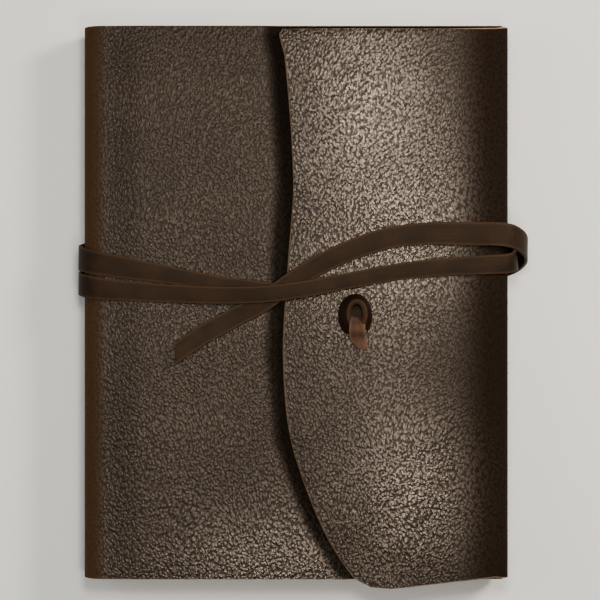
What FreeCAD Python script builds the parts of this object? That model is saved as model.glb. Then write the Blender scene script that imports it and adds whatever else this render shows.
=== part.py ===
"""A leather wrap sketchbook, closed and tied.

Frame: millimetres, +Z up. The book lies on its back. The spine is at -X, the fore edge is at +X and the head is
at +Y. Shapes are built about the middle of the back cover's outer face, and are then all moved together so that
the origin is at the middle of the footprint, on the table.
"""

import FreeCAD
import Part
import math
import os

# Driving dimensions
BOOK_W = 177.0          # outer face of the spine to outer face of the fore-edge panel
BOOK_H = 230.0          # head to tail of the leather wrap
LEATHER = 1.8           # thickness of the hide
SIGNATURES = 8          # sewn gatherings of drawing paper
TURNING = 3             # front gatherings whose leaves turn with the cover
SIGNATURE_T = 2.4       # thickness of one gathering
SHEET_GAP = 0.1         # air between neighbouring sheets and gatherings
PAGE_W = 166.0          # fold to fore edge
PAGE_H = 222.0
ENDPAPER_T = 0.3
LACE_W = 8.0
LACE_T = 1.4

# Places across the book
LEFT = -BOOK_W / 2
RIGHT = BOOK_W / 2
SPINE_R = 9.0           # outer radius of the rounded spine corners
HINGE_X = LEFT + SPINE_R
LEAF_X = HINGE_X + 1.0  # where a leaf bends
FOLD_X = LEFT + 3.5     # back folds of the middle gatherings
PAGE_END = FOLD_X + PAGE_W
COVER_END = RIGHT - LEATHER - 0.7

# Heights through the book
BLOCK_Z = LEATHER + 0.8
SIGNATURE_PITCH = SIGNATURE_T + SHEET_GAP
BLOCK_TOP = BLOCK_Z + SIGNATURES * SIGNATURE_PITCH - SHEET_GAP
COVER_Z = BLOCK_TOP + 0.7
COVER_TOP = COVER_Z + LEATHER
FLAP_Z = COVER_TOP + 2.2
FLAP_TOP = FLAP_Z + LEATHER

# Tie hole in the flap
HOLE_X = 25.0
HOLE_Y = -3.0
HOLE_R = 2.6

# Lace: how far it stands off the leather, and how deep each strand lies where strands cross
STAND_OFF = 0.5
HALF_LACE = LACE_T / 2
LAYER = LACE_T + 0.25
LONG_RUN = 100.0        # a stretch longer than this is dead straight

V = FreeCAD.Vector


def box(x0, x1, y0, y1, z0, z1):
    """A box between two corners."""
    return Part.makeBox(x1 - x0, y1 - y0, z1 - z0, V(x0, y0, z0))


def panel(x0, x1, z0, z1, height=BOOK_H):
    """A flat panel centred on the book from head to tail."""
    return box(x0, x1, -height / 2, height / 2, z0, z1)


def arc_point(centre_x, centre_z, radius, degrees):
    """A point on a circle in the plane across the book."""
    a = math.radians(degrees)
    return V(centre_x + radius * math.cos(a), -BOOK_H / 2, centre_z + radius * math.sin(a))


def spine_panel():
    """Leather over the backs of the gatherings, with both corners rounded."""
    low_z = SPINE_R
    high_z = COVER_TOP - SPINE_R

    def corner(radius, centre_z, start):
        ends = [arc_point(HINGE_X, centre_z, radius, start + step) for step in (0, 45, 90)]
        return Part.Arc(*ends).toShape()

    outer_top = corner(SPINE_R, high_z, 90)
    outer_low = corner(SPINE_R, low_z, 180)
    inner_top = corner(SPINE_R - LEATHER, high_z, 90)
    inner_low = corner(SPINE_R - LEATHER, low_z, 180)

    def line(radius, z0, z1):
        return Part.makeLine(arc_point(HINGE_X, z0, radius, 180), arc_point(HINGE_X, z1, radius, 180))

    def cap(centre_z, degrees):
        ends = [arc_point(HINGE_X, centre_z, radius, degrees) for radius in (SPINE_R - LEATHER, SPINE_R)]
        return Part.makeLine(*ends)

    edges = [
        outer_top,
        line(SPINE_R, high_z, low_z),
        outer_low,
        cap(low_z, 270),
        inner_low,
        line(SPINE_R - LEATHER, low_z, high_z),
        inner_top,
        cap(high_z, 90),
    ]
    wire = Part.Wire(Part.__sortEdges__(edges))
    return Part.Face(wire).extrude(V(0, BOOK_H, 0))


def flap():
    """The closing flap: a square root at the fore edge, a wavy free edge and a swept lower corner."""
    root = RIGHT - 0.05
    head = BOOK_H / 2 - 1.7
    free_edge = [
        (-4.0, head - 12.0),
        (-0.6, 50.0),
        (-2.6, 18.0),
        (-4.7, -22.0),
        (-1.5, -58.0),
        (12.0, -94.0),
        (25.0, -114.0),
        (36.0, -118.0),
        (57.0, -116.5),
    ]
    start = (-7.0, head)
    end = (root, -113.5)
    curve = Part.BSplineCurve()
    curve.interpolate([V(x, y, FLAP_Z) for x, y in [start, *free_edge, end]])
    corner = V(root, head, FLAP_Z)
    edges = [
        curve.toShape(),
        Part.makeLine(V(end[0], end[1], FLAP_Z), corner),
        Part.makeLine(corner, V(start[0], start[1], FLAP_Z)),
    ]
    sheet = Part.Face(Part.Wire(edges)).extrude(V(0, 0, LEATHER))
    hole = Part.makeCylinder(HOLE_R, LEATHER + 2, V(HOLE_X, HOLE_Y, FLAP_Z - 1))
    return sheet.cut(hole)


def gathering_z(index):
    """Underside of a gathering."""
    return BLOCK_Z + index * SIGNATURE_PITCH


def fold_x(index):
    """Back fold of a gathering: the outer ones step in to follow the rounded corners of the spine."""
    centre_z = gathering_z(index) + SIGNATURE_T / 2
    past_straight = max(SPINE_R - centre_z, centre_z - (COVER_TOP - SPINE_R), 0.0)
    room = SPINE_R - LEATHER - SHEET_GAP - SIGNATURE_T / 2
    curved = HINGE_X - math.sqrt(room**2 - past_straight**2) - SIGNATURE_T / 2
    return max(FOLD_X, curved)


def signature(index):
    """One whole gathering: folded sheets with a rounded back."""
    return rounded_back(fold_x(index), PAGE_END, gathering_z(index))


def rounded_back(x0, x1, z0):
    """A stack of sheets whose back fold, at x0, is a half round."""
    radius = SIGNATURE_T / 2
    y0 = -PAGE_H / 2
    face = Part.makePolygon([V(x0 + radius, y0, z0), V(x1, y0, z0), V(x1, y0, z0 + SIGNATURE_T),
                             V(x0 + radius, y0, z0 + SIGNATURE_T)])
    back = Part.Arc(V(x0 + radius, y0, z0 + SIGNATURE_T), V(x0, y0, z0 + radius), V(x0 + radius, y0, z0))
    wire = Part.Wire(face.Edges + [back.toShape()])
    return Part.Face(wire).extrude(V(0, PAGE_H, 0))


def front_folds():
    """The sewn backs of the gatherings whose leaves turn, up to the line where the leaves bend."""
    turning = range(SIGNATURES - TURNING, SIGNATURES)
    return Part.makeCompound([rounded_back(fold_x(i), LEAF_X - SHEET_GAP, gathering_z(i)) for i in turning])


def turning_leaves(index):
    """The free leaves of one of the front gatherings."""
    z0 = gathering_z(index)
    return panel(LEAF_X, PAGE_END, z0, z0 + SIGNATURE_T, PAGE_H)


TAPE_YS = (-70.0, 0.0, 70.0)
TAPE_W = 12.0
TAPE_T = 0.4
TAPE_X = FOLD_X - 0.1 - TAPE_T
TAPE_INSET = 5.8        # from either face of the wrap to the ends of the tapes
THREAD_R = 0.25


def sewing_tapes():
    """Three linen tapes across the backs of the middle gatherings."""
    top = COVER_TOP - TAPE_INSET
    tapes = [box(TAPE_X, TAPE_X + TAPE_T, y - TAPE_W / 2, y + TAPE_W / 2, TAPE_INSET, top) for y in TAPE_YS]
    return Part.makeCompound(tapes)


def sewing_thread():
    """One stitch across each gathering's fold at each tape, outside the tape where there is one."""
    length = TAPE_W + 2.0
    stitches = []
    for y in TAPE_YS:
        for index in range(SIGNATURES):
            z = gathering_z(index) + SIGNATURE_T / 2
            over = TAPE_X if TAPE_INSET < z < COVER_TOP - TAPE_INSET else fold_x(index)
            x = over - 0.05 - THREAD_R
            stitches.append(Part.makeCylinder(THREAD_R, length, V(x, y - length / 2, z), V(0, 1, 0)))
    return Part.makeCompound(stitches)


def ribbon(waypoints, steps, width=LACE_W, thickness=LACE_T):
    """A flat strap through waypoints (x, y, z, face angle), as one solid of flat faces.

    The face angle is the direction, in degrees in the plane across the book, that the outer face looks in.
    """
    spots = [V(x, y, z) for x, y, z, angle in waypoints]
    angles = [w[3] for w in waypoints]
    stations = []
    for i in range(len(spots) - 1):
        before = spots[max(i - 1, 0)]
        after = spots[min(i + 2, len(spots) - 1)]
        if (spots[i + 1] - spots[i]).Length > LONG_RUN:
            stations.append((spots[i], spots[i + 1] - spots[i], angles[i]))
            continue
        for k in range(steps):
            stations.append(hermite(before, spots[i], spots[i + 1], after, k / steps)
                            + (angles[i] + (angles[i + 1] - angles[i]) * k / steps,))
    last = spots[-1] - spots[-2]
    stations.append((spots[-1], last, angles[-1]))
    rings = []
    for point, heading, angle in stations:
        tangent = V(heading).normalize()
        out = V(math.cos(math.radians(angle)), 0, math.sin(math.radians(angle)))
        side = tangent.cross(out).normalize()
        out = side.cross(tangent).normalize()
        rings.append([point + side * (width / 2 * a) + out * (thickness / 2 * b)
                      for a, b in ((-1, -1), (1, -1), (1, 1), (-1, 1))])
    return solid_through(rings)


def is_flat(points):
    """Whether four points lie in one plane."""
    a, b, c, d = points
    normal = (b - a).cross(c - a)
    return abs(normal.normalize().dot(d - a)) < 1e-7


def hermite(before, here, there, after, t):
    """Position and direction on a smooth curve from here to there, with short tangents that don't overshoot."""
    span = (there - here).Length
    reach = 0.9 * span
    leave = (there - before).normalize() * reach
    arrive = (after - here).normalize() * reach
    h = ((2 * t**3 - 3 * t**2 + 1), (t**3 - 2 * t**2 + t), (-2 * t**3 + 3 * t**2), (t**3 - t**2))
    d = ((6 * t**2 - 6 * t), (3 * t**2 - 4 * t + 1), (-6 * t**2 + 6 * t), (3 * t**2 - 2 * t))
    parts = (here, leave, there, arrive)
    point = V(0, 0, 0)
    heading = V(0, 0, 0)
    for vector, a, b in zip(parts, h, d):
        point = point + vector * a
        heading = heading + vector * b
    return point, heading


def solid_through(rings):
    """A closed solid skinned with triangles through a row of four-cornered rings."""
    faces = []

    def triangle(a, b, c):
        faces.append(Part.Face(Part.makePolygon([a, b, c, a])))

    for one, two in zip(rings, rings[1:]):
        for k in range(4):
            n = (k + 1) % 4
            corners = (one[k], one[n], two[n], two[k])
            if is_flat(corners):
                faces.append(Part.Face(Part.makePolygon([*corners, corners[0]])))
            else:
                triangle(one[k], one[n], two[n])
                triangle(one[k], two[n], two[k])
    for ring in (rings[0], rings[-1]):
        triangle(ring[0], ring[1], ring[2])
        triangle(ring[0], ring[2], ring[3])
    solid = Part.Solid(Part.Shell(faces))
    solid.fix(0.01, 0.01, 0.01)
    if solid.Volume < 0:
        solid.reverse()
    return solid


def round_spine(high_y, low_y, turn):
    """Waypoints from the front, round the spine and on to the back, one whole turn later for each turn of 360."""
    radius = SPINE_R + STAND_OFF + HALF_LACE
    points = []
    for centre_z, angles in ((COVER_TOP - SPINE_R, (90, 120, 150, 175)), (SPINE_R, (185, 210, 240, 270))):
        for degrees in angles:
            spot = arc_point(HINGE_X, centre_z, radius, degrees)
            share = (degrees - 90) / 180
            points.append((spot.x, high_y + (low_y - high_y) * share, spot.z, degrees + turn))
    return points


def lace_path():
    """Where the lace runs: out from under the flap, twice round the book, and tucked under itself."""
    on_cover = COVER_TOP + STAND_OFF + HALF_LACE
    on_flap = FLAP_TOP + STAND_OFF + HALF_LACE
    under_flap = (COVER_TOP + FLAP_Z) / 2
    on_back = -STAND_OFF - HALF_LACE
    edge_mid = FLAP_TOP / 2
    return [
        (HOLE_X - 8.0, -1.0, under_flap, 90),
        (2.0, 1.5, under_flap, 90),
        (-16.0, 5.6, on_cover, 90),
        (-50.0, 11.2, on_cover, 90),
        *round_spine(16.4, 19.4, 0),
        (RIGHT - 8.0, 23.4, on_back, 270),
        (RIGHT - 1.0, 23.3, on_back + 0.12, 272),
        (RIGHT + 1.1, 23.2, on_back + 0.6, 310),
        (RIGHT + 2.1, 22.4, 1.4, 350),
        (RIGHT + 2.6, 20.0, edge_mid, 360),
        (RIGHT + 1.6, 17.0, FLAP_TOP - 1.0, 375),
        (RIGHT - 1.0, 16.2, on_flap + 0.2, 440),
        (RIGHT - 10.0, 15.6, on_flap, 450),
        (45.0, 13.2, on_flap, 450),
        (15.0, 7.6, on_flap + LAYER, 450),
        (-6.0, 3.8, on_flap + LAYER, 450),
        (-26.0, 3.2, on_cover + LAYER, 450),
        (-50.0, 3.9, on_cover, 450),
        *round_spine(6.0, 8.0, 360),
        (RIGHT - 8.0, 13.6, on_back, 630),
        (RIGHT - 1.0, 13.9, on_back + 0.12, 632),
        (RIGHT + 1.4, 14.0, on_back + 0.6, 660),
        (RIGHT + 4.0, 15.2, 1.8, 695),
        (RIGHT + 8.0, 20.0, edge_mid, 720),
        (RIGHT + 5.0, 25.6, FLAP_TOP - 1.0, 745),
        (RIGHT - 2.0, 28.0, on_flap + 1.2, 800),
        (RIGHT - 14.0, 28.6, on_flap + 0.2, 810),
        (52.0, 28.6, on_flap, 810),
        (24.0, 21.6, on_flap, 810),
        (4.0, 11.6, on_flap, 810),
        (-6.5, 4.2, on_flap - 0.05, 810),
        (-17.0, -3.0, on_cover + 0.9, 810),
        (-32.0, -10.0, on_cover, 810),
        (-49.0, -20.0, on_cover, 810),
    ]


def tie_knot():
    """The lace's anchored end: a folded roll over the hole, and the shank through it."""
    shank = Part.makeCylinder(HOLE_R - 0.3, LEATHER + 0.6, V(HOLE_X, HOLE_Y, FLAP_Z - 0.1))
    roll = Part.makeTorus(3.8, 2.2, V(HOLE_X, HOLE_Y, FLAP_TOP + 2.5))
    core = Part.makeCylinder(3.0, 3.4, V(HOLE_X, HOLE_Y, FLAP_TOP + 0.3))
    return shank.fuse(core).fuse(roll).removeSplitter()


def tie_tail():
    """The short end that hangs from the knot, towards the tail of the book."""
    z = FLAP_TOP + STAND_OFF + HALF_LACE
    path = [
        (HOLE_X - 0.5, HOLE_Y - 7.2, z + 0.6, 90),
        (HOLE_X, HOLE_Y - 12.0, z + 0.3, 90),
        (HOLE_X + 1.6, HOLE_Y - 18.6, z, 90),
    ]
    return ribbon(path, 4, width=6.5)


def build():
    """Every node's shape by name."""
    first_turning = SIGNATURES - TURNING
    nodes = {
        "back_cover": panel(HINGE_X + 0.05, RIGHT - 0.05, 0, LEATHER),
        "spine_panel": spine_panel(),
        "front_cover": panel(HINGE_X + 0.05, COVER_END, COVER_Z, COVER_TOP),
        "fore_edge_panel": panel(RIGHT - LEATHER, RIGHT, LEATHER + 0.2, FLAP_Z - 0.3),
        "flap": flap(),
        "back_endpaper": panel(LEAF_X, PAGE_END, LEATHER + 0.2, LEATHER + 0.2 + ENDPAPER_T, PAGE_H),
        "front_endpaper": panel(LEAF_X + 0.5, PAGE_END, COVER_Z - 0.1 - ENDPAPER_T, COVER_Z - 0.1, PAGE_H),
        "front_signature_folds": front_folds(),
        "sewing_tapes": sewing_tapes(),
        "sewing_thread": sewing_thread(),
        "tie_lace": ribbon(lace_path(), 5),
        "tie_knot": tie_knot(),
        "tie_tail": tie_tail(),
    }
    for index in range(first_turning):
        nodes[f"signature_{index + 1}"] = signature(index)
    for index in range(first_turning, SIGNATURES):
        nodes[f"turning_leaves_{index + 1}"] = turning_leaves(index)
    return nodes


def footprint_middle(shapes):
    """The middle of the underside of the box round all the shapes."""
    boxes = [shape.optimalBoundingBox(False, False) for shape in shapes]
    low_x = min(b.XMin for b in boxes)
    high_x = max(b.XMax for b in boxes)
    low_y = min(b.YMin for b in boxes)
    high_y = max(b.YMax for b in boxes)
    return V((low_x + high_x) / 2, (low_y + high_y) / 2, min(b.ZMin for b in boxes))


os.makedirs("parts", exist_ok=True)
nodes = build()
middle = footprint_middle(nodes.values())
for name, shape in nodes.items():
    if not shape.isValid():
        raise ValueError(f"{name} is not a valid shape")
    shape.translate(-middle)
    shape.exportStep(f"parts/{name}.step")
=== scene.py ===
"""The looks of a leather wrap sketchbook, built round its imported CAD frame.

Lengths are in metres. x runs from the spine to the fore edge, y from the tail to the head, and z upwards.
Shapes are worked out about the middle of the back cover's outer face, and are moved into the frame as they
are made.
"""

import math
import random

import bpy
import numpy as np
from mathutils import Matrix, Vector, noise


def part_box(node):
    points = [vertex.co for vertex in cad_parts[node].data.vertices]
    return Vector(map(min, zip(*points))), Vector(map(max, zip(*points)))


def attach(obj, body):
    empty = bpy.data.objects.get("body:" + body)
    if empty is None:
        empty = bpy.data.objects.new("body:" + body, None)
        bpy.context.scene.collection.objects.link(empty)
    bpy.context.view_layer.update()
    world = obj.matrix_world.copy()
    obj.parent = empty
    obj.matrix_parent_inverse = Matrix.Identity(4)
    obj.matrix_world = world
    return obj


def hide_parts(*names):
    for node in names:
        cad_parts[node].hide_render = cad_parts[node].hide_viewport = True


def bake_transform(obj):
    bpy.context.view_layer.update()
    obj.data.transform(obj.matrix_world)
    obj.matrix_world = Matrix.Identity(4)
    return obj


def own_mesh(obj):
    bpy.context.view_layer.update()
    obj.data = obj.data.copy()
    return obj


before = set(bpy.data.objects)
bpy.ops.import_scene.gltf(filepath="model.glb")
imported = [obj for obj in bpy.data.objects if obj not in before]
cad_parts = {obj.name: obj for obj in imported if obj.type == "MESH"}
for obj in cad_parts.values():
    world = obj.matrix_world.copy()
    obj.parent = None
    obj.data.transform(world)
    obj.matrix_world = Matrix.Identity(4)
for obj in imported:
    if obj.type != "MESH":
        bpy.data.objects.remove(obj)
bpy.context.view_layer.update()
MM = 0.001
random.seed(7)

SPINE_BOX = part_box("spine_panel")
BACK_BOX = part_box("back_cover")
FORE_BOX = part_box("fore_edge_panel")
BOOK = Vector((
    (SPINE_BOX[0].x + FORE_BOX[1].x) / 2,
    (BACK_BOX[0].y + BACK_BOX[1].y) / 2,
    BACK_BOX[0].z,
))


def book_box(node):
    """A CAD node's lowest and highest corners, about the middle of the back cover."""
    low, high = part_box(node)
    return low - BOOK, high - BOOK


SPINE_LOW, SPINE_HIGH = book_box("spine_panel")
COVER_LOW, COVER_HIGH = book_box("front_cover")
BACK_LOW, BACK_HIGH = book_box("back_cover")
FLAP_LOW, FLAP_HIGH = book_box("flap")
KNOT_LOW, KNOT_HIGH = book_box("tie_knot")
LEAF_LOW, LEAF_HIGH = book_box("turning_leaves_8")

HIDE = BACK_HIGH.z - BACK_LOW.z         # thickness of the hide
LEFT = SPINE_LOW.x
RIGHT = book_box("fore_edge_panel")[1].x
HEAD = COVER_HIGH.y
TAIL = COVER_LOW.y
COVER_TOP = COVER_HIGH.z
COVER_END = COVER_HIGH.x                # the cover's free end, under the flap
FLAP_TOP = FLAP_HIGH.z
FLAP_UNDER = FLAP_LOW.z
HINGE_X = SPINE_HIGH.x
SPINE_R = SPINE_HIGH.x - SPINE_LOW.x    # radius of the spine's two corners
EDGE_R = 5.5 * MM                       # radius of the fore edge's two corners
SPINE_MID = COVER_TOP / 2
EDGE_MID = FLAP_TOP / 2
KNOT_X = (KNOT_LOW.x + KNOT_HIGH.x) / 2
KNOT_Y = (KNOT_LOW.y + KNOT_HIGH.y) / 2

# Mesh steps on the leather: round the section, along the book, under the book, and both ways on the flap
SECTION_STEP = 1.2 * MM
LENGTH_STEP = 1.6 * MM
UNDER_STEP = 2.0 * MM
FLAP_STEP = 0.9 * MM

# The flap's free edge in plan, from its swept lower corner to the head
FREE_EDGE = [
    (31 * MM, FLAP_LOW.y + 0.6 * MM),
    (24 * MM, -113.4 * MM),
    (11.8 * MM, -94 * MM),
    (-1.4 * MM, -58 * MM),
    (-4.7 * MM, -22 * MM),
    (-2.6 * MM, 18 * MM),
    (-0.6 * MM, 50 * MM),
    (-3.9 * MM, FLAP_HIGH.y - 12 * MM),
    (-6.2 * MM, FLAP_HIGH.y - 2 * MM),
    (-5.2 * MM, FLAP_HIGH.y),
]
FREE_EDGE_X, FREE_EDGE_Y = zip(*FREE_EDGE)


# ---------------------------------------------------------------- numbers and curves

def bump(x, centre, spread):
    """A smooth hill of height 1."""
    return math.exp(-((x - centre) / spread) ** 2)


def smooth_step(value):
    """0 below 0, 1 above 1, and smooth between."""
    value = min(1.0, max(0.0, value))
    return value * value * (3 - 2 * value)


def soft_noise(x, y, scale, seed):
    """Slow noise between about -1 and 1 over the face of the book."""
    return noise.noise(Vector((x / scale, y / scale, seed)))


def unit(array):
    """Rows of an array scaled to length 1."""
    length = np.linalg.norm(array, axis=-1, keepdims=True)
    return array / np.maximum(length, 1e-12)


def running_length(points):
    """The length of a line of points, up to each of them."""
    return np.concatenate([[0], np.cumsum(np.linalg.norm(np.diff(points, axis=0), axis=1))])


def spline(points, count):
    """Evenly spaced rows on a smooth curve through a few rows.

    The curve passes each row in the direction from the row before it to the row after it. Any columns past
    the third are blended straight.
    """
    rows = np.array(points, float)
    place = rows[:, :3]
    ahead = np.vstack([place[1:], 2 * place[-1] - place[-2]])
    behind = np.vstack([2 * place[0] - place[1], place[:-1]])
    lean = 0.9 * unit(ahead - behind)
    dense = []
    for i in range(len(place) - 1):
        span = np.linalg.norm(place[i + 1] - place[i])
        for t in np.linspace(0, 1, 40, endpoint=False):
            spot = place[i] * (2 * t**3 - 3 * t**2 + 1) + place[i + 1] * (3 * t**2 - 2 * t**3)
            spot = spot + span * (lean[i] * (t**3 - 2 * t**2 + t) + lean[i + 1] * (t**3 - t**2))
            dense.append(np.concatenate([spot, rows[i, 3:] * (1 - t) + rows[i + 1, 3:] * t]))
    dense.append(rows[-1])
    dense = np.array(dense)
    run = running_length(dense[:, :3])
    wanted = np.linspace(0, run[-1], count)
    return np.stack([np.interp(wanted, run, column) for column in dense.T], axis=1)


def arc(centre_x, centre_z, radius, start, end, count):
    """Section points on an arc, in degrees, without the first."""
    angles = [math.radians(start + (end - start) * k / count) for k in range(1, count + 1)]
    return [(centre_x + radius * math.cos(a), centre_z + radius * math.sin(a)) for a in angles]


def straight(start, end, step):
    """Section points from start to end, without the first."""
    count = max(1, int(math.dist(start, end) / step))
    return [tuple(a + (b - a) * k / count for a, b in zip(start, end)) for k in range(1, count + 1)]


# ---------------------------------------------------------------- meshes

def new_mesh(name, verts, faces, materials, face_slots=None, smooth_angle=50.0):
    """A smooth-shaded mesh object, with a material for each face."""
    mesh = bpy.data.meshes.new(name)
    mesh.from_pydata([tuple(Vector(v) + BOOK) for v in verts], [], faces)
    for material in materials:
        mesh.materials.append(material)
    if face_slots is not None:
        mesh.polygons.foreach_set("material_index", np.array(face_slots, np.int32))
    mesh.polygons.foreach_set("use_smooth", np.ones(len(mesh.polygons), bool))
    mesh.set_sharp_from_angle(angle=math.radians(smooth_angle))
    mesh.update()
    obj = bpy.data.objects.new(name, mesh)
    bpy.context.scene.collection.objects.link(obj)
    return obj


def set_uv(obj, name, coordinates):
    """Gives each vertex its place on a named flat map."""
    corners = np.zeros(len(obj.data.loops), np.int32)
    obj.data.loops.foreach_get("vertex_index", corners)
    layer = obj.data.uv_layers.new(name=name)
    layer.data.foreach_set("uv", coordinates[corners].astype(np.float32).ravel())


def bend(obj):
    """Bakes a piece's place into its mesh. It is not bent, and is fixed to no body."""
    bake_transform(obj)


def settle(obj, body, node):
    """Fixes a piece to a body, in the place of its CAD node."""
    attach(obj, body)
    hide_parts(node)


# ---------------------------------------------------------------- sheets of hide

GRAIN_SIDE, FLESH_SIDE, CUT_EDGE = 0, 1, 2      # the order of the hide's materials
RIM_STEP = 0.3 * MM                             # from each face to the nearer corner of the cut edge
RIM_SWELL = 0.2 * MM                            # how far the grain side's corner stands out
SKIVE = 0.25 * MM                               # how far the flesh side's corner stands out


def grid_normals(points):
    """Normals of a grid of points, by central differences."""
    along = np.gradient(points, axis=0)
    across = np.gradient(points, axis=1)
    return unit(np.cross(along, across))


def rim_of(rows, cols):
    """Once round the outside of a grid, as rows and columns."""
    ring = [(i, 0) for i in range(rows)]
    ring += [(rows - 1, j) for j in range(1, cols)]
    ring += [(i, cols - 1) for i in range(rows - 2, -1, -1)]
    ring += [(0, j) for j in range(cols - 2, 0, -1)]
    return ring


def outward(outer, normal, i, j, is_seam):
    """The direction out of a sheet at a point of its rim, which is none along a seam."""
    rows, cols = outer.shape[:2]
    if is_seam and j not in (0, cols - 1):
        return np.zeros(3)
    inward_i = i if is_seam else min(max(i, 1), rows - 2)
    inward_j = min(max(j, 1), cols - 2)
    away = outer[i, j] - outer[inward_i, inward_j]
    away = away - normal * float(np.dot(away, normal))
    length = np.linalg.norm(away)
    return away / length if length > 1e-9 else np.zeros(3)


def sheet_faces(rows, cols, ring):
    """Faces and material slots of a sheet: its grain side, its flesh side and three bands round its rim."""
    count = rows * cols
    faces = []
    slots = []
    for i in range(rows - 1):
        for j in range(cols - 1):
            a = i * cols + j
            b = a + 1
            c = a + cols + 1
            d = a + cols
            faces.append((a, d, c, b))
            slots.append(GRAIN_SIDE)
            faces.append((count + a, count + b, count + c, count + d))
            slots.append(FLESH_SIDE)
    size = len(ring)
    grain = [i * cols + j for i, j in ring]
    high = range(2 * count, 2 * count + size)
    low = range(2 * count + size, 2 * count + 2 * size)
    flesh = [count + k for k in grain]
    for k in range(size):
        n = (k + 1) % size
        for upper, lower in ((grain, high), (high, low), (low, flesh)):
            faces.append((upper[k], upper[n], lower[n], lower[k]))
            slots.append(CUT_EDGE)
    return faces, slots


def leather_sheet(name, outer, materials, masks, seams=(), skive=SKIVE):
    """A closed sheet of hide under a grid of points on its grain side.

    The grid's rows run along the section. seams names the sides, of "first" and "last", that butt against
    another sheet and stay square. The sheet keeps its flat, unbent coordinates for its grain. It also keeps
    the masks, which are functions of x and y, by name.
    """
    rows, cols = outer.shape[:2]
    normals = grid_normals(outer)
    inner = outer - normals * HIDE
    ring = rim_of(rows, cols)
    rim_high = []
    rim_low = []
    for i, j in ring:
        is_seam = (i == 0 and "first" in seams) or (i == rows - 1 and "last" in seams)
        normal = normals[i, j]
        away = outward(outer, normal, i, j, is_seam)
        rim_high.append(outer[i, j] + away * RIM_SWELL - normal * RIM_STEP)
        rim_low.append(inner[i, j] + away * skive + normal * RIM_STEP)
    verts = np.concatenate([outer.reshape(-1, 3), inner.reshape(-1, 3), rim_high, rim_low])
    faces, slots = sheet_faces(rows, cols, ring)
    obj = new_mesh(name, verts, faces, materials, slots, smooth_angle=62.0)

    steps = np.linalg.norm(np.diff(outer[:, :, [0, 2]], axis=0), axis=2)
    along = np.concatenate([np.zeros((1, cols)), np.cumsum(steps, axis=0)])
    flat = np.stack([along, outer[:, :, 1]], axis=2)
    rim = np.array([flat[i, j] for i, j in ring])
    flat = flat.reshape(-1, 2)
    set_uv(obj, "developed", np.concatenate([flat, flat, rim, rim]))
    for attribute, mask in masks.items():
        values = np.array([mask(x, y) for x, y in verts[:, :2]], np.float32)
        obj.data.attributes.new(attribute, "FLOAT", "POINT").data.foreach_set("value", values)
    return obj


# ---------------------------------------------------------------- the leather wrap

def free_edge_at(y):
    """Where the flap's free edge is, at a distance along the book."""
    return float(np.interp(y, FREE_EDGE_Y, FREE_EDGE_X))


def painted_flap_shadow(x, y):
    """Painted shadow of the flap on the cover: 1 under the flap and up to about 5 mm beside its free edge,
    fading to 0 about 10 mm outside it. Where it is 1 the hide is also made duller.
    """
    return smooth_step((x - free_edge_at(y) + 9.8 * MM) / (5 * MM))


def handled(x, y):
    """How much the flap is polished by hands: most on its two swells and beside the lace."""
    high = bump(x, 29 * MM, 29 * MM) * bump(y, 70 * MM, 66 * MM)
    middle = bump(x, 56 * MM, 21 * MM) * bump(y, 34 * MM, 36 * MM)
    low = bump(x, 51 * MM, 27 * MM) * bump(y, -80 * MM, 30 * MM)
    near_fore_edge = smooth_step((x - 40 * MM) / (22 * MM))
    return 0.25 - 0.19 * near_fore_edge + 0.85 * high + 0.60 * middle + 0.95 * low


def evenly(x, y):
    """The even polish of the rest of the hide, a little more towards the tail, where the cover is held."""
    held = bump(x, -10 * MM, 40 * MM) * bump(y, TAIL, 24 * MM)
    return 0.20 - 0.06 * y / (100 * MM) + 0.85 * held


def cover_rise(x, y):
    """How far the front cover's grain side is above its flat CAD height. It dips beside the free edge."""
    swell = smooth_step((free_edge_at(y) - x) / (11 * MM)) * (0.75 + 0.25 * max(0.0, 1 - (y / HEAD) ** 4))
    pressed = -0.75 * MM * bump(y, 9 * MM, 14 * MM) * swell
    waves = 0.3 * MM * soft_noise(x, y, 42 * MM, 1.3) * swell
    edge_drop = -0.5 * MM * (abs(y) / HEAD) ** 16
    from_hinge = smooth_step((x - HINGE_X) / (16 * MM))
    return from_hinge * (0.15 * MM + 1.5 * MM * swell + pressed + waves + edge_drop)


def flap_rise(x, y):
    """How far the flap's grain side is above its flat CAD height."""
    from_fold = smooth_step((RIGHT - EDGE_R - x) / (26 * MM))
    swell_high = 3.5 * MM * bump(y, 76 * MM, 42 * MM) * bump(x, 30 * MM, 36 * MM)
    swell_low = 3.0 * MM * bump(y, -64 * MM, 44 * MM) * bump(x, 40 * MM, 34 * MM)
    pressed = -0.7 * MM * bump(y, 17 * MM, 17 * MM)
    waves = 0.5 * MM * soft_noise(x, y, 30 * MM, 4.7) + 0.2 * MM * soft_noise(x, y, 12 * MM, 8.1)
    curl = -0.9 * MM * bump(x, -6 * MM, 8 * MM) * (1 - bump(y, 100 * MM, 25 * MM))
    at_head = min(1.0, max(0.0, (y - HEAD + 5 * MM) / (6 * MM)))
    roll = 1.3 * MM * at_head * at_head * from_fold
    return from_fold * (swell_high + swell_low + pressed + waves) + curl - roll


def extrude_section(section, rise=None):
    """A grid of points: a section swept from tail to head, and raised where a rise is given."""
    ys = np.linspace(TAIL, HEAD, int((HEAD - TAIL) / LENGTH_STEP) + 1)
    grid = np.zeros((len(section), len(ys), 3))
    for i, (x, z) in enumerate(section):
        for j, y in enumerate(ys):
            grid[i, j] = (x, y, z + (rise(x, y) if rise else 0.0))
    return grid


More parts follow.
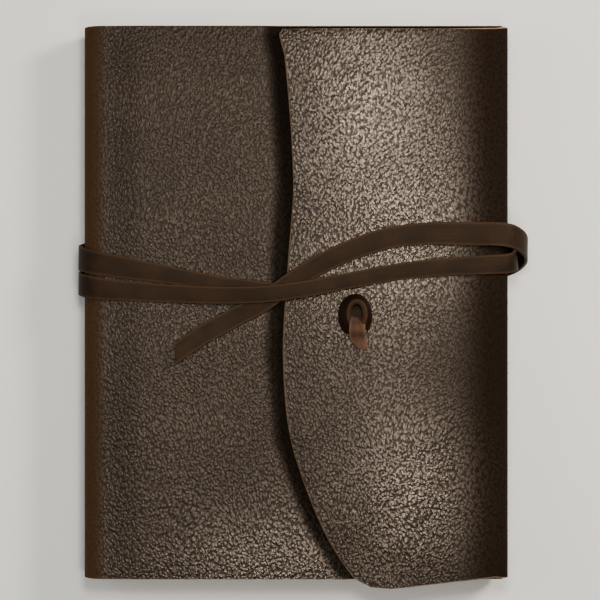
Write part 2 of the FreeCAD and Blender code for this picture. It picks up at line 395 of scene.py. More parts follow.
def front_cover_leather(materials):
    """From the middle of the spine, over its rounded corner, to the cover's free end under the flap."""
    section = [(LEFT, SPINE_MID)]
    section += straight(section[-1], (LEFT, COVER_TOP - SPINE_R), SECTION_STEP)
    section += arc(HINGE_X, COVER_TOP - SPINE_R, SPINE_R, 180, 90, 16)
    section += straight(section[-1], (COVER_END, COVER_TOP), SECTION_STEP)
    # The first mask is a painted shadow of the flap, on the cover under and just beside its free edge.
    masks = {"painted_flap_shadow": painted_flap_shadow, "handled": evenly}
    grid = extrude_section(section, cover_rise)
    obj = leather_sheet("front_cover_leather", grid, materials, masks, ("first",))
    bend(obj)
    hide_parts("front_cover", "spine_panel")


def back_cover_leather(materials):
    """From the middle of the fore edge, under the book, and up to the middle of the spine."""
    section = [(RIGHT, EDGE_MID)]
    section += straight(section[-1], (RIGHT, EDGE_R), SECTION_STEP)
    section += arc(RIGHT - EDGE_R, EDGE_R, EDGE_R, 0, -90, 10)
    section += straight(section[-1], (HINGE_X, 0.0), UNDER_STEP)
    section += arc(HINGE_X, SPINE_R, SPINE_R, 270, 180, 16)
    section += straight(section[-1], (LEFT, SPINE_MID), SECTION_STEP)
    grid = extrude_section(section)
    obj = leather_sheet("back_cover_leather", grid, materials, {"handled": evenly}, ("first", "last"))
    bend(obj)
    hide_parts("back_cover", "fore_edge_panel")


FLAP_ROOT = RIGHT - EDGE_R              # where the flap leaves the fore edge's rounded corner
FLAP_REACH = 95 * MM                    # about how far it reaches from there

# The flap's tail edge in plan, from its root to its swept lower corner
FLAP_TAIL = [
    (FLAP_ROOT, -113.5 * MM),
    (57 * MM, -116.5 * MM),
    (40 * MM, FLAP_LOW.y),
    FREE_EDGE[0],
]


def flap_plan(rows, cols):
    """A grid of x and y over the flap, filled in evenly between its four edges."""
    head = FLAP_HIGH.y
    left = spline(FREE_EDGE, cols)
    low = spline(FLAP_TAIL, rows)
    right = np.stack([np.full(cols, FLAP_ROOT), np.linspace(FLAP_TAIL[0][1], head, cols)], axis=1)
    high = spline([(FLAP_ROOT, head), (left[-1][0], head)], rows)
    u = np.linspace(0, 1, rows)[:, None, None]
    v = np.linspace(0, 1, cols)[None, :, None]
    plan = (1 - u) * right[None] + u * left[None] + (1 - v) * low[:, None] + v * high[:, None]
    plan -= (1 - u) * (1 - v) * low[0] + u * (1 - v) * low[-1] + (1 - u) * v * high[0] + u * v * high[-1]
    return plan


def flap_leather(materials):
    """From the middle of the fore edge, over its rounded corner, to the flap's wavy free edge."""
    cols = int((HEAD - TAIL) / FLAP_STEP) + 1
    rows = int(FLAP_REACH / FLAP_STEP)
    plan = flap_plan(rows, cols)
    edge = [(RIGHT, EDGE_MID)]
    edge += straight(edge[-1], (RIGHT, FLAP_TOP - EDGE_R), SECTION_STEP)
    edge += arc(FLAP_ROOT, FLAP_TOP - EDGE_R, EDGE_R, 0, 90, 10)[:-1]
    grid = np.zeros((len(edge) + rows, cols, 3))
    for i, (x, z) in enumerate(edge):
        share = i / len(edge)
        top = HEAD + (FLAP_HIGH.y - HEAD) * share
        base = TAIL + (FLAP_TAIL[0][1] - TAIL) * share
        for j in range(cols):
            grid[i, j] = (x, base + (top - base) * j / (cols - 1), z)
    for i in range(rows):
        for j in range(cols):
            x, y = plan[i, j]
            grid[len(edge) + i, j] = (x, y, FLAP_TOP + flap_rise(x, y))
    masks = {"handled": handled}
    obj = leather_sheet("flap_leather", grid[:, ::-1], materials, masks, ("first",), skive=0.62 * MM)
    bend(obj)
    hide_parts("flap")


# ---------------------------------------------------------------- the lace

LACE_T = 1.4 * MM                       # thickness of the lace
HALF_LACE = LACE_T / 2
LACE_LAYER = LACE_T + 0.1 * MM          # from one turn of lace to the next one over it
LACE_STEP = 1.2 * MM
KNOT_STEP = 0.6 * MM
SLANT_LENGTH = 9 * MM                   # how much of a lace's end its slant takes up
CENTIMETRE = 0.01                       # the lace's flat map counts along it in these
CORNER = 0.36                           # radius of the lace's corners, as a share of half its thickness
CUP = 0.12                              # how far its sides turn down, as a share of half its thickness


def strap_profile():
    """Round a strap's section: the corner each point belongs to, and where it stands on that corner."""
    profile = []
    for corner_x, corner_y, start in ((1, 1, 0), (-1, 1, 90), (-1, -1, 180), (1, -1, 270)):
        for step in (0, 30, 60, 90):
            a = math.radians(start + step)
            profile.append((corner_x, corner_y, math.cos(a) * CORNER, math.sin(a) * CORNER))
    return profile


def strap_faces(count, size):
    """Faces between the rings of a strap, and across its two ends."""
    faces = []
    for i in range(count - 1):
        for k in range(size):
            n = (k + 1) % size
            faces.append((i * size + k, i * size + n, (i + 1) * size + n, (i + 1) * size + k))
    last = (count - 1) * size
    faces.append(tuple(range(size - 1, -1, -1)))
    faces.append(tuple(range(last, last + size)))
    return faces


def strap(name, stations, material, cut=0.0):
    """A flat lace with rounded sides through stations of (point, outward direction, width, thickness).

    cut is the slant of its last end, as the tangent of the angle off square.
    """
    points = np.array([station[0] for station in stations])
    tangents = unit(np.gradient(points, axis=0))
    sides = unit(np.cross(tangents, np.array([station[1] for station in stations])))
    outs = unit(np.cross(sides, tangents))
    run = running_length(points)
    profile = strap_profile()
    verts = []
    places = []
    for point, out, side, tangent, so_far, station in zip(points, outs, sides, tangents, run, stations):
        lean = cut * max(0.0, 1 - (run[-1] - so_far) / SLANT_LENGTH) ** 1.5
        half_w = station[2] / 2
        half_t = station[3] / 2
        for corner_x, corner_y, step_x, step_y in profile:
            across = corner_x * (half_w - CORNER * half_t) + step_x * half_t
            up = corner_y * (half_t - CORNER * half_t) + step_y * half_t
            cup = -CUP * half_t * (across / half_w) ** 2
            verts.append(point + side * across + out * (up + cup) + tangent * (across * lean))
            places.append((so_far / CENTIMETRE, corner_x * 0.5 + 0.5))
    obj = new_mesh(name, verts, strap_faces(len(stations), len(profile)), [material], smooth_angle=60.0)
    set_uv(obj, "run", np.array(places))
    return obj


def on_cover(x, y, level, angle, width):
    """A waypoint of the lace on the front cover, in mm, some layers up."""
    hide_z = COVER_TOP + cover_rise(x * MM, y * MM)
    return (x * MM, y * MM, hide_z + HALF_LACE + level * LACE_LAYER, angle, width)


def on_flap(x, y, level, angle, width):
    """A waypoint of the lace on the flap, in mm, some layers up."""
    hide_z = FLAP_TOP + flap_rise(x * MM, y * MM)
    return (x * MM, y * MM, hide_z + HALF_LACE + level * LACE_LAYER, angle, width)


def round_spine(first_y, last_y, turn, width):
    """Waypoints of the lace round the spine, from the front cover down to the back cover."""
    rows = []
    for degrees in (110, 135, 160, 180, 200, 225, 250):
        a = math.radians(degrees)
        above_middle = math.copysign(SPINE_MID - SPINE_R, 180 - degrees) if degrees != 180 else 0.0
        radius = SPINE_R + HALF_LACE + 0.2 * MM + 1.3 * MM * math.cos(a) ** 2
        x = HINGE_X + radius * math.cos(a)
        y = first_y + (last_y - first_y) * (degrees - 90) / 180
        z = SPINE_MID + above_middle + radius * math.sin(a)
        rows.append((x, y * MM, z, degrees + turn, width))
    return rows


def lace_waypoints():
    """Where the lace runs: out from under the flap, twice round the book, and away over the front cover.

    A waypoint is x, y and z, then the direction that the lace's outer face looks in, in degrees from x
    towards z and on past each full turn, then the lace's width in mm.
    """
    left = LEFT / MM
    right = RIGHT / MM
    back = book_box("tie_lace")[0].z + HALF_LACE
    under = (COVER_TOP + FLAP_UNDER) / 2
    return [
        (KNOT_X - 6 * MM, KNOT_Y + 1 * MM, under, 90, 7.0),
        (2 * MM, 1.8 * MM, under + 0.3 * MM, 90, 7.0),
        on_cover(-12, 5.2, 0.1, 90, 6.5),
        on_cover(-30, 7.4, 0, 90, 6.4),
        on_cover(-50, 11.0, 0, 90, 7.0),
        on_cover(left + 17, 14.5, 0, 92, 9.4),
        *round_spine(15.6, 22.6, 0, 10.0),
        (LEFT + 14 * MM, 23.2 * MM, back + 0.1 * MM, 268, 8.4),
        (LEFT + 26 * MM, 23.3 * MM, back, 270, 8.0),
        (RIGHT - 26 * MM, 23.6 * MM, back, 270, 8.0),
        (RIGHT - 12 * MM, 23.4 * MM, back + 0.1 * MM, 272, 8.0),
        (RIGHT + 0.6 * MM, 22.8 * MM, 0.8 * MM, 315, 8.0),
        (RIGHT + 3.4 * MM, 20.0 * MM, EDGE_MID, 360, 8.0),
        (RIGHT + 1.8 * MM, 16.6 * MM, FLAP_TOP - 1.2 * MM, 400, 8.0),
        on_flap(right - 9, 15.6, 0.2, 440, 8.0),
        on_flap(66, 15.0, 0, 445, 7.6),
        on_flap(44, 12.9, 0, 442, 7.0),
        on_flap(22, 9.0, 0.7, 440, 6.6),
        on_flap(4, 5.6, 1.15, 445, 6.8),
        on_cover(-13, 3.4, 2.1, 450, 7.0),
        on_cover(-32, 3.0, 1.1, 450, 7.2),
        on_cover(-52, 3.7, 0.1, 450, 7.6),
        on_cover(left + 16, 4.9, 0, 452, 8.4),
        *round_spine(5.2, 11.2, 360, 9.4),
        (LEFT + 14 * MM, 11.8 * MM, back + 0.1 * MM, 628, 8.4),
        (LEFT + 26 * MM, 12.0 * MM, back, 630, 8.0),
        (RIGHT - 26 * MM, 13.4 * MM, back, 630, 8.0),
        (RIGHT - 12 * MM, 13.8 * MM, back + 0.1 * MM, 632, 8.0),
        (RIGHT + 1.6 * MM, 15.2 * MM, 0.5 * MM, 672, 8.0),
        (RIGHT + 8.0 * MM, 20.0 * MM, EDGE_MID - 1 * MM, 712, 8.4),
        (RIGHT + 6.6 * MM, 24.4 * MM, FLAP_TOP - 3.6 * MM, 745, 9.0),
        (RIGHT - 0.5 * MM, 27.8 * MM, FLAP_TOP + 2.4 * MM, 782, 9.8),
        on_flap(right - 16, 28.4, 0.6, 802, 9.8),
        on_flap(52, 28.4, 0.1, 806, 9.2),
        on_flap(36, 26.0, 0, 806, 8.8),
        on_flap(18, 19.6, 0, 808, 8.4),
        on_flap(2, 11.0, 0.05, 810, 8.0),
        on_cover(-13, 0.4, 1.2, 810, 8.0),
        on_cover(-26, -6.6, 0.6, 812, 8.0),
        on_cover(-38, -13.2, 1.0, 812, 8.0),
        on_cover(-49.5, -21.0, 1.6, 814, 7.6),
    ]


def smooth_stations(waypoints, step):
    """Waypoints joined by a smooth curve and cut into even steps, each with its outward direction."""
    rows = np.array(waypoints, float)
    length = running_length(rows[:, :3])[-1]
    stations = []
    for x, y, z, angle, width in spline(rows, int(length / step)):
        a = math.radians(angle)
        out = np.array((math.cos(a), 0.0, math.sin(a)))
        stations.append((np.array((x, y, z)), out, width * MM, LACE_T))
    return stations


def tie_lace(material):
    """The long lace, fixed to the flap."""
    obj = strap("tie_lace_wrapped", smooth_stations(lace_waypoints(), LACE_STEP), material, cut=-0.75)
    settle(obj, "flap", "tie_lace")
    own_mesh(obj)


LOOP_Y = KNOT_Y - 2.2 * MM                          # the middle of the knot's loop
KNOT_FOOT = FLAP_TOP + flap_rise(KNOT_X, KNOT_Y)    # height of the hide under the knot


def from_loop(across, along, up, angle, width):
    """A waypoint in mm from the foot of the knot's loop."""
    return (KNOT_X + across * MM, LOOP_Y + along * MM, KNOT_FOOT + up * MM, angle, width)


def knot_loop(material):
    """The lace's anchored end, standing on edge in a leaning loop over its hole."""
    stations = []
    for degrees in range(-158, 147, 6):
        a = math.radians(90 - degrees)
        lean = math.radians(35 - 11 * math.cos(a) - 7 * math.sin(a))
        radius = (5.2 - 0.35 * math.cos(2 * a)) * MM
        out = np.array((math.cos(a) * math.cos(lean), math.sin(a) * math.cos(lean), math.sin(lean)))
        drop = 0.9 * MM * max(0.0, abs(degrees) / 90 - 1)
        x = KNOT_X + radius * math.cos(a)
        y = LOOP_Y + 1.22 * radius * math.sin(a)
        z = KNOT_FOOT + 2.9 * MM - drop
        stations.append((np.array((x, y, z)), out, 5.8 * MM, 2.1 * MM))
    obj = strap("tie_knot_loop", stations, material)
    settle(obj, "flap", "tie_knot")


def knot_neck(material):
    """The lace across the inside of the loop, where it comes up through the hole."""
    waypoints = [
        from_loop(0.4, 4.6, 0.2, 90, 6.2),
        from_loop(0.4, 2.0, 1.0, 86, 6.4),
        from_loop(0.4, -2.2, 0.9, 90, 6.4),
    ]
    obj = strap("tie_knot_neck", smooth_stations(waypoints, KNOT_STEP), material)
    settle(obj, "flap", "tie_knot")


def knot_tail(material):
    """The lace's short end, which comes out over the loop and falls towards the tail, flesh side up."""
    waypoints = [
        from_loop(0.7, -1.4, 2.2, 88, 6.0),
        from_loop(0.6, -2.6, 3.6, 88, 6.2),
        from_loop(0.5, -4.4, 5.0, 90, 6.6),
        from_loop(0.4, -6.4, 5.0, 92, 6.8),
        from_loop(0.6, -9.0, 3.2, 92, 6.6),
        from_loop(1.8, -11.4, 1.9, 90, 5.2),
        from_loop(3.6, -14.2, 1.2, 88, 2.8),
    ]
    obj = strap("tie_tail_end", smooth_stations(waypoints, KNOT_STEP), material, cut=-0.7)
    settle(obj, "flap", "tie_tail")


# ---------------------------------------------------------------- the paper

SHEETS = 4                  # folded sheets in one gathering
PAGE_ROWS = 9
PAPER_FILL = 0.86           # a sheet's thickness, as a share of its room
BENT_GATHERING = 6
TURNING_GATHERINGS = (7, 8)


def ribbon(verts, faces, path, thick, shift_y):
    """Adds a sheet of paper to verts and faces: a thin closed solid along y, on a path of (x, z, angle)."""
    rows = []
    for y in np.linspace(LEAF_LOW.y, LEAF_HIGH.y, PAGE_ROWS) + shift_y:
        row = []
        for x, z, a in path:
            row.append(len(verts))
            verts.append((x, y, z))
            verts.append((x + math.sin(a) * thick, y, z + math.cos(a) * thick))
        rows.append(row)
    count = len(path)
    for here, there in zip(rows, rows[1:]):
        for i in range(count - 1):
            faces.append((here[i], there[i], there[i + 1], here[i + 1]))
            faces.append((here[i] + 1, here[i + 1] + 1, there[i + 1] + 1, there[i] + 1))
        for i in (0, count - 1):
            quad = (here[i], here[i] + 1, there[i] + 1, there[i])
            faces.append(quad if i == 0 else quad[::-1])
    for row, flip in ((rows[0], False), (rows[-1], True)):
        for i in range(count - 1):
            quad = (row[i], row[i + 1], row[i + 1] + 1, row[i] + 1)
            faces.append(quad[::-1] if flip else quad)


def sheet_paths(part, end_x, fold_x, centre_z, radius):
    """Paths of one folded sheet: the whole of it, or only its two leaves, or only its fold."""
    gutter_x = LEAF_LOW.x
    if part == "leaves":
        xs = np.linspace(end_x, gutter_x + 0.05 * MM, 9)
    elif part == "folds":
        xs = np.linspace(gutter_x - 0.05 * MM, fold_x, 5)
    else:
        xs = [*np.linspace(end_x, gutter_x + 12 * MM, 8), *np.linspace(gutter_x + 10 * MM, fold_x, 14)]
    lower = [(x, centre_z - radius, 0.0) for x in xs]
    upper = [(x, centre_z + radius, math.pi) for x in reversed(xs)]
    if part == "leaves":
        return [lower, upper]
    fold = []
    for a in np.linspace(0, math.pi, 7)[1:-1]:
        fold.append((fold_x - radius * math.sin(a), centre_z - radius * math.cos(a), a))
    return [lower + fold + upper]


def gathering(name, node, back_x, material, part="whole"):
    """A sewn gathering of folded sheets, each a hair out of line, or only its leaves or its folds."""
    low, high = book_box(node)
    leaf = (high.z - low.z) / (2 * SHEETS)
    centre_z = (low.z + high.z) / 2
    fold_x = back_x + (high.z - low.z) / 2
    verts = []
    faces = []
    for order in range(SHEETS):
        end_x = LEAF_HIGH.x + random.uniform(-0.35, 0.1) * MM
        shift_y = random.uniform(-0.3, 0.3) * MM
        radius = (high.z - low.z) / 2 - order * leaf
        for path in sheet_paths(part, end_x, fold_x, centre_z, radius):
            ribbon(verts, faces, path, leaf * PAPER_FILL, shift_y)
    obj = new_mesh(name, verts, faces, [material], smooth_angle=40.0)
    return obj


def fold_of(low, high):
    """Back fold of a front gathering: it steps in to follow the rounded corner of the spine."""
    past_straight = max((low.z + high.z) / 2 - (COVER_TOP - SPINE_R), 0.0)
    half = (high.z - low.z) / 2
    room = SPINE_R - HIDE - 0.1 * MM - half
    round_x = HINGE_X - math.sqrt(room**2 - past_straight**2) - half
    return max(book_box("front_signature_folds")[0].x, round_x)


def fixed_gatherings(material):
    """The gatherings below the gutter's bend, which stay with the back cover."""
    for node in sorted(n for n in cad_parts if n.startswith("signature_")):
        obj = gathering(node.replace("signature", "gathering"), node, book_box(node)[0].x, material)
        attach(obj, "back")
        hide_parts(node)


def bent_gathering(number, material):
    """The gathering that bends at the gutter in the real book, as its leaves turn. Here it is left unbent
    and fixed to no body.
    """
    node = f"turning_leaves_{number}"
    obj = gathering(f"gathering_{number}", node, fold_of(*book_box(node)), material)
    bend(obj)
    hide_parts(node, "front_signature_folds")


def turning_gathering(number, material):
    """A gathering above the bend. Its leaves turn over inside the bend, and its folds stay at the spine."""
    node = f"turning_leaves_{number}"
    fold_x = fold_of(*book_box(node))
    leaves = gathering(f"gathering_{number}_leaves", node, fold_x, material, "leaves")
    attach(leaves, f"leaves_{number}")
    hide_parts(node)
    folds = gathering(f"gathering_{number}_folds", node, fold_x, material, "folds")
    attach(folds, "back")
    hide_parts("front_signature_folds")


# ---------------------------------------------------------------- materials

def rgba(colour):
    """A colour of three numbers with its opacity, or a node's output as it is."""
    return (*colour, 1.0) if isinstance(colour, tuple) else colour


class Surface:
    """A node material while it is built, round its principled shader."""

    def __init__(self, name):
        self.material = bpy.data.materials.new(name)
        self.material.use_nodes = True
        self.tree = self.material.node_tree
        self.shader = self.tree.nodes["Principled BSDF"]

    def plug(self, socket, value):
        """Gives an input a value, or links it to another node's output."""
        if isinstance(value, bpy.types.NodeSocket):
            self.tree.links.new(value, socket)
        else:
            socket.default_value = value

    def add(self, kind, settings=None, inputs=None):
        """A new node, with its settings by name, and its inputs by name or number."""
        node = self.tree.nodes.new(kind)
        for key, value in (settings or {}).items():
            setattr(node, key, value)
        for key, value in (inputs or {}).items():
            self.plug(node.inputs[key], value)
        return node

    def set(self, socket, value):
        """Gives one of the shader's inputs a value, or links it."""
        self.plug(self.shader.inputs[socket], value)

    def math(self, operation, a, b=0.0):
        """A sum or other operation on two values."""
        return self.add("ShaderNodeMath", {"operation": operation}, {0: a, 1: b}).outputs[0]

    def weigh(self, a, share_a, b, share_b):
        """Two values added in given shares."""
        return self.math("ADD", self.math("MULTIPLY", a, share_a), self.math("MULTIPLY", b, share_b))

    def vector(self, operation, a, b):
        """An operation on two vectors."""
        return self.add("ShaderNodeVectorMath", {"operation": operation}, {0: a, 1: b}).outputs[0]

    def shift(self, place, direction, size):
        """A place moved a little in a direction."""
        step = self.add("ShaderNodeVectorMath", {"operation": "SCALE"}, {0: direction, "Scale": size})
        return self.vector("ADD", place, step.outputs[0])

    def split(self, place):
        """The outputs of a vector's X, Y and Z."""
        return self.add("ShaderNodeSeparateXYZ", None, {"Vector": place}).outputs

    def where(self):
        """The place on the object, in metres."""
        return self.add("ShaderNodeTexCoord").outputs["Object"]

    def uv(self, name):
        """A place on one of the mesh's flat maps."""
        return self.add("ShaderNodeUVMap", {"uv_map": name}).outputs[0]

    def mask(self, name):
        """The value of one of the mesh's masks."""
        return self.add("ShaderNodeAttribute", {"attribute_name": name}).outputs["Fac"]

    def noise(self, place, scale, detail, dimensions="3D", output="Fac"):
        """A noise texture's strength or colour."""
        inputs = {"Vector": place, "Scale": scale, "Detail": detail}
        return self.add("ShaderNodeTexNoise", {"noise_dimensions": dimensions}, inputs).outputs[output]

    def smooth_range(self, value, start, end, top=1.0):
        """0 where a value is at start, rising smoothly to top where it is at end."""
        inputs = {"Value": value, "From Min": start, "From Max": end, "To Max": top}
        return self.add("ShaderNodeMapRange", {"interpolation_type": "SMOOTHSTEP"}, inputs).outputs[0]

    def between(self, value, low, high):
        """low where a value is 0 and high where it is 1, in a straight line."""
        inputs = {"Value": value, "To Min": low, "To Max": high}
        return self.add("ShaderNodeMapRange", None, inputs).outputs[0]

    def ramp(self, value, stops):
        """A colour ramp over a value, with stops of (position, colour)."""
        node = self.add("ShaderNodeValToRGB", None, {"Fac": value})
        elements = node.color_ramp.elements
        while len(elements) < len(stops):
            elements.new(0.5)
        for element, (position, colour) in zip(elements, stops):
            element.position = position
            element.color = rgba(colour)
        return node.outputs["Color"]

    def mix(self, share, first, second, blend_type="MIX"):
        """Two colours mixed, with a share of the second."""
        settings = {"data_type": "RGBA", "blend_type": blend_type}
        return self.add("ShaderNodeMix", settings, {0: share, 6: rgba(first), 7: rgba(second)}).outputs[2]

    def relief(self, height, strength, distance):
        """Raises the surface by a height, as a bump."""
        inputs = {"Strength": strength, "Distance": distance, "Height": height}
        self.set("Normal", self.add("ShaderNodeBump", None, inputs).outputs[0])


def grain_map(surface):
    """The hide's flat coordinates, swayed, stretched and turned, so that its pebbles keep no rows."""
    flat = surface.uv("developed")
    sway = surface.noise(flat, 26.0, 1.0, "2D", "Color")
    wobble = surface.noise(flat, 300.0, 2.0, "2D", "Color")
    bent = surface.shift(surface.shift(flat, sway, 0.007), wobble, 0.0013)
    inputs = {"Vector": bent, "Rotation": (0.0, 0.0, 0.65), "Scale": (1.20, 0.86, 1.0)}
    return surface.add("ShaderNodeMapping", None, inputs).outputs[0]


def pebbles(surface):
    """Height of the hide's grain: big and small pebbles, and patches where the creases are filled in."""
    laid = grain_map(surface)
    cells = {"feature": "SMOOTH_F1", "voronoi_dimensions": "2D"}
    big_inputs = {"Vector": laid, "Scale": 680.0, "Smoothness": 0.22, "Randomness": 0.95}
    small_inputs = {"Vector": laid, "Scale": 1250.0, "Smoothness": 0.22}
    big = surface.add("ShaderNodeTexVoronoi", cells, big_inputs).outputs["Distance"]
    small = surface.add("ShaderNodeTexVoronoi", cells, small_inputs).outputs["Distance"]
    pebble = surface.smooth_range(big, 0.70, 0.11)
    bead = surface.smooth_range(small, 0.64, 0.08)
    creased = surface.weigh(pebble, 0.76, bead, 0.24)
    filled = surface.smooth_range(surface.noise(laid, 640.0, 1.0, "2D"), 0.48, 0.68, 0.62)
    return surface.math("MAXIMUM", creased, filled)


def pebbled_hide():
    """Dark brown hide with a soft pebbled grain, smoother and matt where it stretches round the folds. The
    creases of its grain and its fold round the fore edge are darkened with painted shade, and the hide
    under and beside the flap's free edge with a painted shadow.
    """
    surface = Surface("hide_grain")
    where = surface.where()
    grain = pebbles(surface)
    fine = surface.noise(where, 2200.0, 3.0)
    broad = surface.noise(where, 30.0, 3.0)
    from_middle = surface.math("SUBTRACT", surface.split(where)["X"], BOOK.x)
    spine_fold = surface.smooth_range(from_middle, LEFT + 11 * MM, LEFT + 2 * MM)
    fore_fold = surface.smooth_range(from_middle, RIGHT - 27 * MM, RIGHT - 7 * MM)
    fold_bands = surface.math("MAXIMUM", spine_fold, fore_fold)
    # Painted shadow of the flap, under and beside its free edge: it darkens the colour and takes away
    # shine.
    under_flap_shadow = surface.mask("painted_flap_shadow")
    dull = surface.math("MAXIMUM", fold_bands, under_flap_shadow)
    polish = surface.mask("handled")

    # The colour goes from nearly black in the grain's creases to brown on the pebble tops: painted shade in
    # the creases, on top of the bump's own shading.
    shades = [
        (0.10, (0.0035, 0.0021, 0.0014)),
        (0.50, (0.0120, 0.0080, 0.0056)),
        (0.95, (0.0240, 0.0168, 0.0120)),
    ]
    tones = [(0.3, (0.75, 0.72, 0.70)), (0.7, (1.20, 1.15, 1.10))]
    toned = surface.mix(1.0, surface.ramp(grain, shades), surface.ramp(broad, tones), "MULTIPLY")
    # Round the spine the fold is a warmer, lighter brown of stretched hide. Round the fore edge it is
    # painted nearly black, as painted shade where the fold turns away from the light.
    at_fore_edge = surface.math("GREATER_THAN", from_middle, 0.0)
    band = surface.mix(at_fore_edge, (0.0480, 0.0230, 0.0085), (0.0085, 0.0046, 0.0026))
    warm = surface.mix(surface.math("MULTIPLY", fold_bands, 0.8), toned, band)
    # Painted shadow: the colour goes nearly black under and beside the flap's free edge.
    deep = surface.mix(surface.math("MULTIPLY", under_flap_shadow, 0.86), warm, (0.0040, 0.0025, 0.0017))
    surface.set("Base Color", deep)

    matt = surface.math("MULTIPLY", dull, 0.30)
    matt = surface.math("SUBTRACT", matt, surface.math("MULTIPLY", polish, 0.08))
    surface.set("Roughness", surface.math("ADD", surface.between(grain, 0.52, 0.33), matt))
    height = surface.math("ADD", grain, surface.math("MULTIPLY", fine, 0.08))
    strength = surface.math("SUBTRACT", 1.0, surface.math("MULTIPLY", fold_bands, 0.70))
    surface.relief(height, strength, 0.00023)
    rubbed = surface.math("SUBTRACT", 1.5, surface.math("MULTIPLY", dull, 1.2))
    shine = surface.math("MULTIPLY", surface.between(grain, 0.18, polish), rubbed)
    surface.set("Specular IOR Level", shine)
    surface.set("Specular Tint", (1.0, 0.84, 0.70, 1.0))
    return surface.material


def suede():
    """The hide's flesh side: a matt, fibrous nap."""
    surface = Surface("hide_suede")
    where = surface.where()
    nap = surface.noise(where, 1500.0, 6.0)
    cloud = surface.noise(where, 60.0, 3.0)
    shades = [(0.3, (0.034, 0.019, 0.011)), (0.7, (0.095, 0.055, 0.033))]
    surface.set("Base Color", surface.ramp(surface.weigh(nap, 0.55, cloud, 0.45), shades))
    surface.relief(nap, 0.7, 0.0002)
    surface.set("Roughness", 0.92)
    surface.set("Sheen Weight", 0.35)
    return surface.material


def cut_edge():
    """The raw edge of the hide: lighter, layered fibre."""
    surface = Surface("hide_cut_edge")
    where = surface.where()
    fibre = surface.noise(surface.vector("MULTIPLY", where, (1.0, 1.0, 5.0)), 900.0, 5.0)
    shades = [(0.30, (0.100, 0.055, 0.026)), (0.70, (0.300, 0.190, 0.100))]
    surface.set("Base Color", surface.ramp(fibre, shades))
    surface.relief(fibre, 0.6, 0.0002)
    surface.set("Roughness", 0.72)
    return surface.material


def lace_leather(name, shades, side_shade, roughness):
    """Smooth lace with fine wrinkles and rubbed sides. Shades run from its darkest to its lightest."""
    surface = Surface(name)
    where = surface.where()
    run = surface.uv("run")
    streak = surface.noise(surface.vector("MULTIPLY", run, (0.35, 5.0, 1.0)), 3.0, 5.0)
    wrinkle = surface.noise(where, 900.0, 4.0)
    tone = surface.weigh(streak, 0.6, wrinkle, 0.4)
    body = surface.ramp(tone, list(zip((0.30, 0.55, 0.75), shades)))
    worn = surface.noise(where, 95.0, 5.0)
    patches = surface.ramp(worn, [(0.40, (0.85, 0.82, 0.80)), (0.62, (1.75, 1.60, 1.50))])
    mottled = surface.mix(1.0, body, patches, "MULTIPLY")
    off_centre = surface.math("ABSOLUTE", surface.math("SUBTRACT", surface.split(run)["Y"], 0.5))
    side = surface.smooth_range(off_centre, 0.36, 0.5)
    surface.set("Base Color", surface.mix(surface.math("MULTIPLY", side, 0.3), mottled, side_shade))

    inputs = {"Vector": where, "Scale": 1300.0}
    cells = surface.add("ShaderNodeTexVoronoi", {"feature": "DISTANCE_TO_EDGE"}, inputs)
    surface.relief(surface.weigh(wrinkle, 0.7, cells.outputs["Distance"], 0.5), 0.55, 0.00018)
    surface.set("Roughness", roughness)
    surface.set("Specular IOR Level", 0.18)
    surface.set("Specular Tint", (1.0, 0.78, 0.58, 1.0))
    return surface.material


def paper(name, dark, light, fibre_scale):
    """Uncoated paper with a faint tooth and flecks."""
    surface = Surface(name)
    where = surface.where()
    tooth = surface.noise(where, fibre_scale, 6.0)
    cloud = surface.noise(where, 35.0, 2.0)
    fibre = surface.weigh(tooth, 0.5, cloud, 0.5)
    surface.set("Base Color", surface.ramp(fibre, [(0.35, dark), (0.65, light)]))
    surface.relief(tooth, 0.35, 0.0001)
    surface.set("Roughness", 0.88)
    return surface.material


def linen(name, dark, light, pitch):
    """Plain woven linen, from two crossing waves."""
    surface = Surface(name)
    inputs = {"Vector": surface.where(), "Scale": pitch, "Distortion": 0.6}
    waves = []
    for direction in ("Y", "Z"):
        wave = surface.add("ShaderNodeTexWave", {"bands_direction": direction}, inputs)
        waves.append(wave.outputs["Fac"])
    weave = surface.math("MULTIPLY", *waves)
    surface.set("Base Color", surface.ramp(weave, [(0.0, dark), (0.6, light)]))
    surface.relief(weave, 0.6, 0.0002)
    surface.set("Roughness", 0.85)
    return surface.material


def finish_node(node, material):
    """Gives a CAD node that stays on show its material."""
    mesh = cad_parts[node].data
    mesh.materials.clear()
    mesh.materials.append(material)


# ---------------------------------------------------------------- stage

FLOOR_SIZE = 4.0                # from the middle to each side
FLOOR_Z = -0.3 * MM
SKY_LIGHT = 0.07                # strength of the surroundings' light on the book
SKY_SEEN = 0.60                 # their strength as the camera sees them
PICTURE_WIDTH = 248.6 * MM      # across the picture, at the flap's height
CAMERA_DISTANCE = 0.95
SENSOR_WIDTH = 36.0             # in mm, as the camera has it


def floor():
    """A pale floor just under the book."""
    mesh = bpy.data.meshes.new("floor")
    corners = [(x * FLOOR_SIZE, y * FLOOR_SIZE, FLOOR_Z) for x, y in ((-1, -1), (1, -1), (1, 1), (-1, 1))]
    mesh.from_pydata(corners, [], [(0, 1, 2, 3)])
    obj = bpy.data.objects.new("floor", mesh)
    bpy.context.scene.collection.objects.link(obj)
    surface = Surface("floor_pale")
    surface.set("Base Color", (0.80, 0.79, 0.77, 1.0))
    surface.set("Roughness", 0.9)
    mesh.materials.append(surface.material)


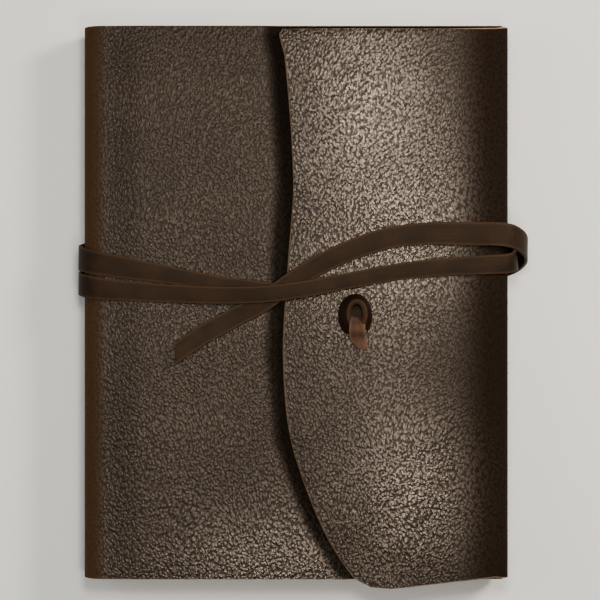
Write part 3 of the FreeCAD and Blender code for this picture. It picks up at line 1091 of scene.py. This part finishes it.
def surroundings():
    """A faint, even light from all round, which the camera sees as a pale backdrop."""
    world = bpy.data.worlds.new("studio")
    bpy.context.scene.world = world
    world.use_nodes = True
    nodes = world.node_tree.nodes
    seen = nodes.new("ShaderNodeLightPath").outputs["Is Camera Ray"]
    strength = nodes.new("ShaderNodeMapRange")
    strength.inputs["To Min"].default_value = SKY_LIGHT
    strength.inputs["To Max"].default_value = SKY_SEEN
    world.node_tree.links.new(seen, strength.inputs["Value"])
    world.node_tree.links.new(strength.outputs[0], nodes["Background"].inputs["Strength"])
    nodes["Background"].inputs["Color"].default_value = (0.92, 0.95, 1.0, 1.0)


def area_light(name, place, size, power, colour):
    """A square soft light aimed at the book."""
    data = bpy.data.lights.new(name, "AREA")
    data.size = size
    data.energy = power
    data.color = colour
    light = bpy.data.objects.new(name, data)
    light.location = place
    light.rotation_euler = (-Vector(place)).to_track_quat("-Z", "Y").to_euler()
    bpy.context.scene.collection.objects.link(light)


def camera():
    """A camera straight above the book."""
    data = bpy.data.cameras.new("camera")
    obj = bpy.data.objects.new("camera", data)
    bpy.context.scene.collection.objects.link(obj)
    data.sensor_width = SENSOR_WIDTH
    data.lens = data.sensor_width * CAMERA_DISTANCE / PICTURE_WIDTH
    data.clip_end = 10.0
    centre = BOOK + Vector((1.9 * MM, 1.0 * MM, FLAP_TOP))
    obj.location = centre + Vector((0, 0, CAMERA_DISTANCE))
    bpy.context.scene.camera = obj


# ---------------------------------------------------------------- build

hide = [pebbled_hide(), suede(), cut_edge()]
front_cover_leather(hide)
back_cover_leather(hide)
flap_leather(hide)

lace_shades = ((0.0045, 0.0019, 0.0009), (0.0075, 0.0032, 0.0014), (0.0125, 0.0056, 0.0025))
flesh_shades = ((0.024, 0.013, 0.0085), (0.048, 0.026, 0.017), (0.078, 0.044, 0.029))
lace_grain = lace_leather("lace_grain", lace_shades, (0.068, 0.036, 0.018), 0.62)
lace_flesh = lace_leather("lace_flesh", flesh_shades, (0.160, 0.095, 0.060), 0.85)
tie_lace(lace_grain)
knot_loop(lace_grain)
knot_neck(lace_grain)
knot_tail(lace_flesh)

drawing_paper = paper("drawing_paper", (0.62, 0.56, 0.45), (0.74, 0.69, 0.58), 900.0)
fixed_gatherings(drawing_paper)
bent_gathering(BENT_GATHERING, drawing_paper)
for number in TURNING_GATHERINGS:
    turning_gathering(number, drawing_paper)

endpaper = paper("endpaper", (0.30, 0.22, 0.15), (0.42, 0.32, 0.22), 600.0)
finish_node("front_endpaper", endpaper)
finish_node("back_endpaper", endpaper)
finish_node("sewing_tapes", linen("linen_tape", (0.30, 0.25, 0.17), (0.62, 0.55, 0.42), 700.0))
finish_node("sewing_thread", linen("linen_thread", (0.36, 0.31, 0.22), (0.70, 0.64, 0.52), 1400.0))

floor()
surroundings()
area_light("overhead", (0.06, 0.05, 0.80), 0.42, 1.3, (1.0, 0.95, 0.88))
area_light("overhead_head", (0.020, 0.140, 0.75), 0.12, 3.2, (1.0, 0.93, 0.82))
area_light("overhead_tail", (0.080, -0.135, 0.72), 0.08, 1.2, (1.0, 0.93, 0.82))
area_light("key", (0.55, 0.36, 0.56), 0.20, 7.0, (1.0, 0.94, 0.86))
area_light("fill", (-0.62, 0.10, 0.60), 0.5, 2.0, (0.92, 0.95, 1.0))
camera()
